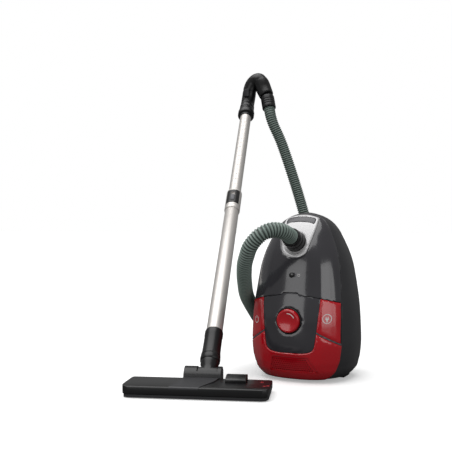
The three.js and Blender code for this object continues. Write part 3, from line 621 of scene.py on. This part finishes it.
REWIND_AT, POWER_AT = (82, 146), (-88, 136)
x, z = REWIND_AT
shown(printed(RED_PROUD, oval(x, z, 8.6, 10.6), oval(x, z, 7.4, 9.2)), "rewind_mark_ring", white_print, "cord_pedal")
shown(printed(RED_PROUD, [(x - 1, z - 7), (x + 1, z - 7), (x + 1, z - 3.4), (x + 3, z - 1.6), (x + 3.4, z + 1.2),
                          (x + 2.4, z + 1.2), (x + 2.4, z + 4.6), (x + 1.2, z + 4.6), (x + 1.2, z + 1.2),
                          (x - 1.2, z + 1.2), (x - 1.2, z + 4.6), (x - 2.4, z + 4.6), (x - 2.4, z + 1.2),
                          (x - 3.4, z + 1.2), (x - 3, z - 1.6), (x - 1, z - 3.4)]),
      "rewind_mark_plug", white_print, "cord_pedal")
x, z = POWER_AT
shown(printed(RED_PROUD, oval(x, z, 6.6, 8.2, 118, 422) + oval(x, z, 5.4, 6.8, 422, 118)), "power_mark_ring",
      white_print, "on_off_pedal")
shown(printed(RED_PROUD, [(x - 0.7, z + 2), (x + 0.7, z + 2), (x + 0.7, z + 9), (x - 0.7, z + 9)]), "power_mark_bar",
      white_print, "on_off_pedal")

# ------------------------------------------------------------------ exhaust grille
# A red plate behind the bumper's opening, drilled with staggered rows of small holes.
HOLE_PITCH, HOLE_R, HOLE_ROWS, FIRST_ROW = 5.2, 1.6, 6, 30
plate = carved(body_form(-0.2), ("DIFFERENCE", body_form(-1.4, 96)), ("INTERSECT", side_region(-1.3)),
               ("INTERSECT", grille_region(0)))
holes = bmesh.new()
for row in range(HOLE_ROWS):
    z = FIRST_ROW + row * HOLE_PITCH * 0.9
    left, right = -46, 57 - (z - 26) * 0.6
    for k in range(int((right - left) // HOLE_PITCH) + 1):
        x = left + 2 + k * HOLE_PITCH + (HOLE_PITCH / 2 if row % 2 else 0)
        if x < right:
            bmesh.ops.create_cone(holes, cap_ends=True, segments=8, radius1=mm(HOLE_R), radius2=mm(HOLE_R),
                                  depth=mm(60), matrix=Matrix.Translation(mm(x, -95, z)) @ TO_Y)
bmesh.ops.recalc_face_normals(holes, faces=holes.faces)
shown(carved(plate, ("DIFFERENCE", holes)), "exhaust_grille_plate", red_abs, "canister",
      ["exhaust_grille"], sharp=30)

# ------------------------------------------------------------------ power knob
# A red dial with a rounded rim, in a black ring; a white arc on its face shows the power.
knob_place = Matrix.Translation(mm(0, 0, KNOB_Z)) @ Matrix.Rotation(math.radians(90), 4, "X")
RING_PROFILE = [(27.6, 102.5), (27.6, 113), (28.2, 114.4), (29.2, 114.2), (29.6, 112.6), (29.6, 100), (0, 100),
                (0, 102.5)]
shown(turned(RING_PROFILE, knob_place, 72), "knob_ring", black_pp, "canister", ["knob_well"])
shown(turned([(0, 103), (25, 103), (26, 104), (26.5, 106), (26.5, 116.5), (26, 119), (24.6, 120.8), (22.6, 121.4),
              (20.5, 121), (19, 120.4), (0, 120.2)], knob_place, 72), "power_knob_dial", red_abs, "knob",
      ["power_knob"])


def arc_mark(inner, outer, start, end, low, high, place, steps=24):
    """A raised piece of a ring, from one turn to another in degrees."""
    bm = bmesh.new()
    spot = [bm.verts.new(mm(r, 0, z)) for r, z in ((inner, low), (outer, low), (outer, high), (inner, high))]
    face = bm.faces.new(spot)
    bmesh.ops.rotate(bm, verts=spot, matrix=Matrix.Rotation(math.radians(start), 3, "Z"))
    bmesh.ops.spin(bm, geom=[face], cent=(0, 0, 0), axis=(0, 0, 1), angle=math.radians(end - start), steps=steps,
                   use_duplicate=False)
    closed(bm)
    bmesh.ops.transform(bm, matrix=place, verts=bm.verts)
    return bm


shown(arc_mark(15.6, 17.4, 25, 95, 119.9, 120.6, knob_place), "knob_mark", white_print, "knob")

# ------------------------------------------------------------------ feet, wheels and caster
# Black rubber pads carry the parked cleaner. The wheels are polypropylene with a soft tyre and a dished hub, on
# a steel axle; the caster turns in its own well high on the rear face.
def dressed(material, *names):
    """Gives CAD nodes that keep their shape a finished material."""
    for name in names:
        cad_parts[name].material_slots[0].material = material


def rounded(bm, width, angle=35, segments=3):
    """Bevels the edges sharper than an angle."""
    sharp = [e for e in bm.edges if len(e.link_faces) == 2 and e.calc_face_angle() > math.radians(angle)]
    bmesh.ops.bevel(bm, geom=sharp, offset=mm(width), offset_type="OFFSET", affect="EDGES", segments=segments,
                    profile=0.5, material=-1, clamp_overlap=True)
    return bm


def block(x, y, z, place=Matrix.Identity(4), bevel=0.0):
    """A box between pairs of places in millimetres, with rounded edges."""
    bm = bmesh.new()
    bmesh.ops.create_cube(bm, size=1)
    bmesh.ops.scale(bm, vec=[mm(pair[1] - pair[0]) for pair in (x, y, z)], verts=bm.verts)
    bmesh.ops.translate(bm, vec=mm((x[0] + x[1]) / 2, (y[0] + y[1]) / 2, (z[0] + z[1]) / 2), verts=bm.verts)
    if bevel:
        rounded(bm, bevel)
    bmesh.ops.transform(bm, matrix=place, verts=bm.verts)
    return bm


rubber, tree, shader = surface("black_rubber", Roughness=0.75)
moulded(tree, shader, "#121212", "#181818", 0.8, 0.4, cloud_mm=30)
steel, tree, shader = surface("turned_steel", Metallic=1.0, Roughness=0.3)
moulded(tree, shader, "#8f9193", "#a3a5a7", 0.5, 0.1, cloud_mm=12)
grey_pp, tree, shader = surface("grey_polypropylene", Roughness=0.5)
moulded(tree, shader, "#77787c", "#808185", 1.0, 0.25, cloud_mm=30)
dressed(rubber, "rest_pad", "rear_foot_left", "rear_foot_right", "motor_mount", "inlet_seal")
dressed(steel, "wheel_axle", "reel_axle", "tilt_pin", "power_spring", "rewind_spring")

for side, name in ((-1, "left"), (1, "right")):
    place = Matrix.Translation(mm(side * WHEEL_X, WHEEL_Y, WHEEL_Z)) @ Matrix.Rotation(side * math.radians(90), 4, "Y")
    shown(turned([(30, -9.6), (34, -10), (36, -7), (36, -3), (35.2, -2.2), (35.2, 2.2), (36, 3), (36, 7), (34, 10),
                  (30, 9.6)], place, 72), f"tyre_{name}", rubber, f"wheel_{name}", [f"rear_wheel_{name}"])
    hub = turned([(4, -10), (8, -10), (10, -7), (26, -7), (29.8, -8.6), (29.8, 8.6), (28, 9.4), (26, 8.6), (22, 5),
                  (11, 5), (9, 8.5), (4, 9.4)], place, 72)
    slots = [("DIFFERENCE", block((12.5, 21), (-2.6, 2.6), (3, 12),
                                  place @ Matrix.Rotation(math.radians(60 * k), 4, "Z"))) for k in range(6)]
    shown(carved(hub, *slots), f"wheel_hub_{name}", black_pp, f"wheel_{name}")
dressed(black_pp, "caster_fork", "bulkhead", "power_switch", "cord_reel", "cord_outlet", "parking_bracket")
caster_at = Matrix.Translation(mm(0, CASTER_Y + 12, CASTER_Z - 10)) @ TO_X
shown(turned([(3.1, -7.5), (11.5, -7.5), (13.3, -6), (13.5, -4), (13.5, 4), (13.3, 6), (11.5, 7.5), (9, 7.5),
              (8, 6.2), (5, 6.2), (4.4, 7.2), (3.1, 7.2)], caster_at, 48),
      "caster_tyre", grey_pp, "caster", ["caster_wheel"])

# ------------------------------------------------------------------ inside the canister
# What the lid opens onto: a soft filter-paper dust bag held by a grey card slot, with foam filters, the motor in
# its housing, the cord reel and its brake, the switch and the speed board below it.
filter_paper, tree, shader = surface("layered_filter_paper", Roughness=0.95, Sheen_Weight=0.25)
moulded(tree, shader, "#cfc8b6", "#dcd6c6", 1.6, 0.55, 0.3, cloud_mm=18)


def bag_wall(u, v):
    """A puffed bag whose sides pull in along its gussets."""
    turn, rise = math.tau * u, math.pi * (v - 0.5)
    round_off = 0.62
    c, s = math.cos(turn), math.sin(turn)
    flat = abs(math.cos(rise)) ** round_off
    pucker = 1 - 0.05 * math.exp(-((abs(s) - 0.1) / 0.14) ** 2) - 0.012 * math.sin(9 * turn) * math.sin(5 * rise)
    x = 74 * math.copysign(abs(c) ** round_off, c) * flat * pucker
    y = 30 + 42 * math.copysign(abs(s) ** round_off, s) * flat * (1 - 0.015 * math.sin(7 * rise + 3 * turn))
    z = 271 + 55 * math.copysign(abs(math.sin(rise)) ** round_off, rise)
    lean = max(0.0, (z - 262) / 64)
    return mm(x * (1 - 0.28 * lean ** 2), y - (y - 24) * 0.2 * lean, z)


bag = shown(closed(wrapped(72, 40, bag_wall)), "filter_bag", filter_paper, "canister", ["dust_bag"],
            sharp=80)
foam, tree, shader = surface("open_filter_foam", Roughness=1.0)
moulded(tree, shader, "#3c3f42", "#54575a", 1.4, 0.9, 0.5, cloud_mm=1.6)
copper, tree, shader = surface("wound_copper", Metallic=1.0, Roughness=0.35)
moulded(tree, shader, "#9c6a3c", "#b98552", 0.6, 0.4, 0.2, cloud_mm=1.2)
board, tree, shader = surface("circuit_board_lacquer", Roughness=0.35)
moulded(tree, shader, "#1f5a33", "#2f7146", 3, 0.2, 0.1, cloud_mm=4)
dressed(foam, "motor_filter", "exhaust_filter")
dressed(copper, "fan_rotor")
dressed(board, "control_board")
dressed(grey_pp, "bag_holder", "motor_housing", "reel_brake")

# ------------------------------------------------------------------ wand tubes
# Two drawn steel tubes with a satin finish brushed along their length. The upper one slides in the lower and has
# a row of small pressed stops that the lock falls into.
WAND_FOOT, WAND_HEADING, WAND_LEAN = (-141.3, -227.7, 28), math.radians(18.3), math.radians(48.6)
wand_place = (Matrix.Translation(mm(*WAND_FOOT)) @ Matrix.Rotation(WAND_HEADING, 4, "Z")
              @ Matrix.Rotation(-WAND_LEAN, 4, "X"))
wand_turn = wand_place.to_3x3().inverted().to_euler("XYZ")
satin_tube, tree, shader = surface("satin_drawn_steel", Metallic=0.72, Roughness=0.46)
lines = node(tree, "ShaderNodeTexNoise", Vector=object_space(tree, wand_turn, (1, 1, 0.02)), Scale=900.0, Detail=2.0)
tone = node(tree, "ShaderNodeMix", {"data_type": "RGBA"}, Factor=lines.outputs["Fac"], _6=linear("#d3cfcb"),
            _7=linear("#e6e2de"))
bump = node(tree, "ShaderNodeBump", Height=lines.outputs["Fac"], Strength=0.12, Distance=0.00005)
tree.links.new(tone.outputs[2], shader.inputs["Base Color"])
tree.links.new(bump.outputs["Normal"], shader.inputs["Normal"])

shown(turned([(17.55, 121), (18.75, 121), (18.75, 543.4), (18.4, 544), (17.55, 544)], wand_place, 56),
      "lower_wand_tube", satin_tube, "lower_wand", ["lower_tube"])
stops = [("DIFFERENCE", rod(2.6, -3, 1.1, wand_place @ Matrix.Translation(mm(0, -17, 648 + 22 * k)) @ TO_Y, steps=16))
         for k in range(16)]
upper = carved(turned([(15.2, 503), (16.6, 503), (17, 503.6), (17, 1003), (15.2, 1003)], wand_place, 56), *stops)
shown(upper, "upper_wand_tube", satin_tube, "handle", ["upper_tube"], sharp=30)

# ------------------------------------------------------------------ telescope lock
# A satin sleeve on the lower tube, with a black frame round its slot; the grey button in the slot slides back to
# free the tubes.
collar = turned([(17.6, 544.4), (19.2, 544.4), (20.4, 546), (21, 549), (21, 556), (20.6, 557), (21, 558), (21, 619),
                 (20.4, 623), (19.4, 626), (17.6, 626)], wand_place, 56)
FRAME_PROFILE = [(21.1, 562), (21.7, 563), (21.8, 565), (21.8, 613), (21.4, 616), (21.1, 616)]
frame_band = carved(turned(FRAME_PROFILE, wand_place, 56),
                    ("INTERSECT", block((-17, 17), (-30, -8), (550, 630), wand_place)),
                    ("DIFFERENCE", block((-5.4, 5.4), (-26, -17), (572, 606), wand_place, bevel=2)))
shown(frame_band, "lock_slot_frame", black_pp, "lower_wand")
slot_hole = block((-5.4, 5.4), (-26, -17), (572, 606), wand_place, bevel=2)
shown(carved(collar, ("DIFFERENCE", slot_hole)), "lock_sleeve", satin_tube, "lower_wand",
      ["lock_collar"], sharp=30)
button = block((-5, 5), (-23.5, -17.9), (573, 594), wand_place, bevel=1)
FIRST_RIDGE, RIDGE_PITCH, RIDGE_WIDE = 576.5, 4.2, 1.7
ridges = []
for k in range(4):
    low = FIRST_RIDGE + RIDGE_PITCH * k
    ridges.append(("DIFFERENCE", block((-6, 6), (-25, -22.7), (low, low + RIDGE_WIDE), wand_place)))
shown(carved(button, *ridges), "lock_slide_button", grey_pp, "button", ["lock_button"])

# ------------------------------------------------------------------ neck
# Black polypropylene socket that the lower tube plugs into, with a hook for parking the wand on the canister, and
# the elbow that tilts on a steel pin in the floor head.
shown(turned([(17, 34.4), (21, 34.4), (22, 36), (22.5, 42), (22.2, 46), (21.2, 47), (21.2, 49), (22, 50), (20.5, 62),
              (20.2, 104), (20.9, 106), (20.9, 118), (20, 120.6), (15.5, 120.6), (15.5, 38)], wand_place, 56),
      "neck_socket", black_pp, "lower_wand", ["neck_tube"])
shown(block((-9, 9), (20.8, 30), (74, 104), wand_place, bevel=2), "parking_hook_rib", black_pp, "lower_wand",
      ["parking_hook"])
STEM_PROFILE = [(0, 4), (16.5, 4), (17.4, 18), (20, 26), (20.4, 33.6), (0, 33.6)]
barrel = carved(rod(17, -21, 21, wand_place @ TO_X), ("UNION", turned(STEM_PROFILE, wand_place, 48)),
                ("DIFFERENCE", rod(3.4, -30, 30, wand_place @ TO_X, steps=20)))
shown(rounded(barrel, 0.8), "neck_elbow_barrel", black_pp, "elbow", ["neck_elbow"])

# ------------------------------------------------------------------ handle and cuff
# A bent black grip on the wand's end, in fine-textured polypropylene, with a turned collar below it and a cuff
# that lets the hose turn. A dark slide on the grip opens a port to ease the suction.
def wand_point(along):
    return (wand_place @ mm(0, 0, along)) * 1000


def grip_radius(share, i):
    """The grip is a round tube up to its bend; the elbow beyond is a stouter housing with a parting line."""
    end = min(share, 1 - share)
    swell = 21.7 + 2.8 * max(0.0, min(1.0, (share - 0.52) / 0.12)) - 1.2 * max(0.0, min(1.0, (share - 0.86) / 0.1))
    return swell - 1.4 * max(0.0, 1 - end / 0.02) - (0.7 if i in (23, 24, 46, 47) else 0)


GRIP = [wand_point(1069.5), wand_point(1083), (-396, 552, 768), (-391, 553, 796), (-380, 553, 815), (-363, 553, 821),
        (-350, 552, 809), (-341, 550, 789), (-329, 543, 768)]
CUFF = [(-325.5, 540.4, 761.6), (-319, 533, 742), (-312.5, 525.6, 722.4)]
shown(swept(GRIP, grip_radius, 40, 2.5)[0], "handle_grip_bend", black_pp, "handle",
      ["handle_grip"], sharp=60)
COLLAR_PROFILE = [(14, 1003.4), (18.4, 1003.4), (19, 1004.4), (19, 1013), (24.6, 1015), (25.6, 1017), (25.6, 1033),
                  (24.8, 1035), (23, 1037), (23, 1048), (22.4, 1049), (22.4, 1050), (23, 1051), (22.6, 1068),
                  (22, 1069), (14, 1069)]
shown(turned(COLLAR_PROFILE, wand_place, 56),
      "handle_collar_sleeve", black_pp, "handle", ["handle_collar"])
shown(swept(CUFF, lambda share, i: 21.6 - (1.2 if i % 4 == 0 and 0.3 < share < 0.9 else 0)
            - 1.5 * max(0.0, 1 - min(share, 1 - share) / 0.05), 48, 2.0)[0], "hose_cuff_sleeve", black_pp, "cuff",
      ["hose_cuff"], sharp=50)
slide_plate = block((-403, -384), (525, 531), (768, 792), bevel=1.6)
shown(slide_plate, "suction_slide_cap", matt_abs, "slider", ["suction_slider"])

# ------------------------------------------------------------------ floor head
# Black ABS moulding with a satin top: a wide low body with chamfered corners, a raised cover over the air channel,
# a barrel that the neck tilts in, and a rocker pedal for the brush. It stands on two rollers.
head_place = Matrix.Translation(mm(WAND_FOOT[0], WAND_FOOT[1], 0)) @ Matrix.Rotation(WAND_HEADING, 4, "Z")
HEAD_X, HEAD_HALF, HEAD_FRONT, HEAD_REAR, HEAD_PEDAL = -11, 152, -116, 8, 67
head_abs, tree, shader = surface("textured_black_abs", Roughness=0.34)
moulded(tree, shader, "#0c0c0d", "#121214", 1.2, 0.3, cloud_mm=50)
head_half = [(HEAD_HALF - 14, HEAD_FRONT), (HEAD_HALF - 4, HEAD_FRONT + 5), (HEAD_HALF, HEAD_FRONT + 18),
             (HEAD_HALF, HEAD_REAR - 28), (HEAD_HALF - 24, HEAD_REAR)]
head_outline = [(x + HEAD_X, y) for x, y in head_half] + [(HEAD_X - x, y) for x, y in reversed(head_half)]
head_side = [(-117, 8.5), (-116, 24), (-112, 25.4), (-104, 25.8), (-66, 25.4), (-16, 24.4), (9, 19), (9, 8.5)]


def head_inset(across, deep):
    """The head's outline, drawn in towards its own middle."""
    return [(HEAD_X + (x - HEAD_X) * across, -54 + (y + 54) * deep) for x, y in head_outline]


hollow = carved(prism(head_inset(0.965, 0.93), 0, 16), ("DIFFERENCE", block((-64, 60), (-32, 40), (0, 60))))
cover = carved(prism(head_outline, 0, 60), ("INTERSECT", prism(head_side, -170, 150, ALONG_X)))
cover = carved(rounded(cover, 1.6, angle=20), ("UNION", carved(rod(25, -50, 30.5, TO_X, (0, 0, 22), 64),
                                               ("INTERSECT", block((-52, 40), (-30, 22), (8.5, 48))))),
               ("DIFFERENCE", block((-22.5, 22.5), (-17.8, 28), (8, 60))),
               ("DIFFERENCE", block((HEAD_PEDAL - 22.5, HEAD_PEDAL + 22.5), (-62.5, -17.5), (20, 60), bevel=1)),
               ("DIFFERENCE", rod(3.4, -28.5, 28.5, TO_X, (0, 0, WAND_FOOT[2]), 20)),
               ("DIFFERENCE", hollow))
bmesh.ops.transform(cover, matrix=head_place, verts=cover.verts)
shown(cover, "head_moulding", head_abs, "head", ["head_cover"], sharp=32)
RAISED_SIDE = [(-118, 21), (-116, 24.6), (-112, 26.2), (-104, 26.8), (-66, 27.4), (-16, 27.4), (-16, 20)]
raised = carved(prism([(-63, -116.4), (-2, -116.4), (22, -60), (28, -16), (-46, -16), (-50, -60)], 20, 40),
                ("INTERSECT", prism(RAISED_SIDE, -100, 100, ALONG_X)))
bmesh.ops.transform(raised, matrix=head_place, verts=raised.verts)
shown(raised, "head_channel_cover", matt_abs, "head")
rocker = prism([(-61.5, 24), (-18.5, 24), (-18.5, 34.6), (-22, 36.6), (-40, 39), (-56, 34.4), (-61.5, 31.5)],
               HEAD_PEDAL - 21.6, HEAD_PEDAL + 21.6, ALONG_X)
rounded(rocker, 1.2, angle=25)
bmesh.ops.transform(rocker, matrix=head_place, verts=rocker.verts)
shown(rocker, "head_rocker_pedal", head_abs, "pedal", ["head_pedal"])
signal_red, tree, shader = surface("red_pad_print", Roughness=0.45)
moulded(tree, shader, "#9a1a20", "#a82028", 2, 0.05)
for k, (x, y) in enumerate(((HEAD_X + 132, -46), (HEAD_X + 140, -84), (HEAD_X + 147, -80))):
    shown(block((x - 3, x + 3), (y - 2.6, y + 2.6), (22.5, 26), head_place, bevel=0.4), f"edge_mark_{k}",
          signal_red, "head")

# ------------------------------------------------------------------ sole, brush and rollers
# The underside: a smooth grey glide plate with the suction slot, a red pile strip that lifts lint, a strip of
# black bristles that the pedal lifts, and two small rollers.
sole = carved(prism(head_inset(0.985, 0.98), 1.5, 8),
              ("DIFFERENCE", block((HEAD_X - 122, HEAD_X + 122), (-88, -66), (-1, 20), bevel=3)),
              ("DIFFERENCE", block((-128, -110), (-22.5, -5.5), (-1, 20))),
              ("DIFFERENCE", block((88, 106), (-22.5, -5.5), (-1, 20))),
              ("DIFFERENCE", block((HEAD_X - 134, HEAD_X + 134), (-111, -103), (-1, 6.4))))
bmesh.ops.transform(sole, matrix=head_place, verts=sole.verts)
shown(rounded(sole, 0.4, angle=60, segments=1), "glide_plate", matt_abs, "head", ["sole_plate"])
bristles = block((HEAD_X - 132, HEAD_X + 132), (-110.4, -103.6), (2.2, 3.1), bevel=0.3)
for k in range(88):
    for j in range(2):
        x = HEAD_X - 130.5 + 3 * k
        bmesh.ops.create_cone(bristles, cap_ends=True, segments=6, radius1=mm(0.7), radius2=mm(1.1), depth=mm(2.4),
                              matrix=Matrix.Translation(mm(x, -108.6 + 3.4 * j, 1.5)))
bmesh.ops.transform(bristles, matrix=head_place, verts=bristles.verts)
nylon, tree, shader = surface("black_nylon_bristle", Roughness=0.6)
moulded(tree, shader, "#0f0f10", "#1b1b1c", 0.4, 0.5, cloud_mm=2)
shown(bristles, "brush_bristles", nylon, "brush", ["brush_strip"])
pile, tree, shader = surface("red_lint_pile", Roughness=1.0, Sheen_Weight=0.5)
moulded(tree, shader, "#7c1218", "#a32830", 0.5, 0.9, 0.3, cloud_mm=1)
dressed(pile, "lint_strip")
TYRE_PROFILE = [(0, -8), (6, -8), (7, -7), (7, -2), (6.6, -1.6), (6.6, 1.6), (7, 2), (7, 7), (6, 8), (0, 8)]
for name, x in (("left", -119), ("right", 97)):
    place = head_place @ Matrix.Translation(mm(x, -14, 7)) @ TO_X
    shown(turned(TYRE_PROFILE, place, 32),
          f"roller_{name}_tyre", grey_pp, f"roller_{name}", [f"sole_roller_{name}"])
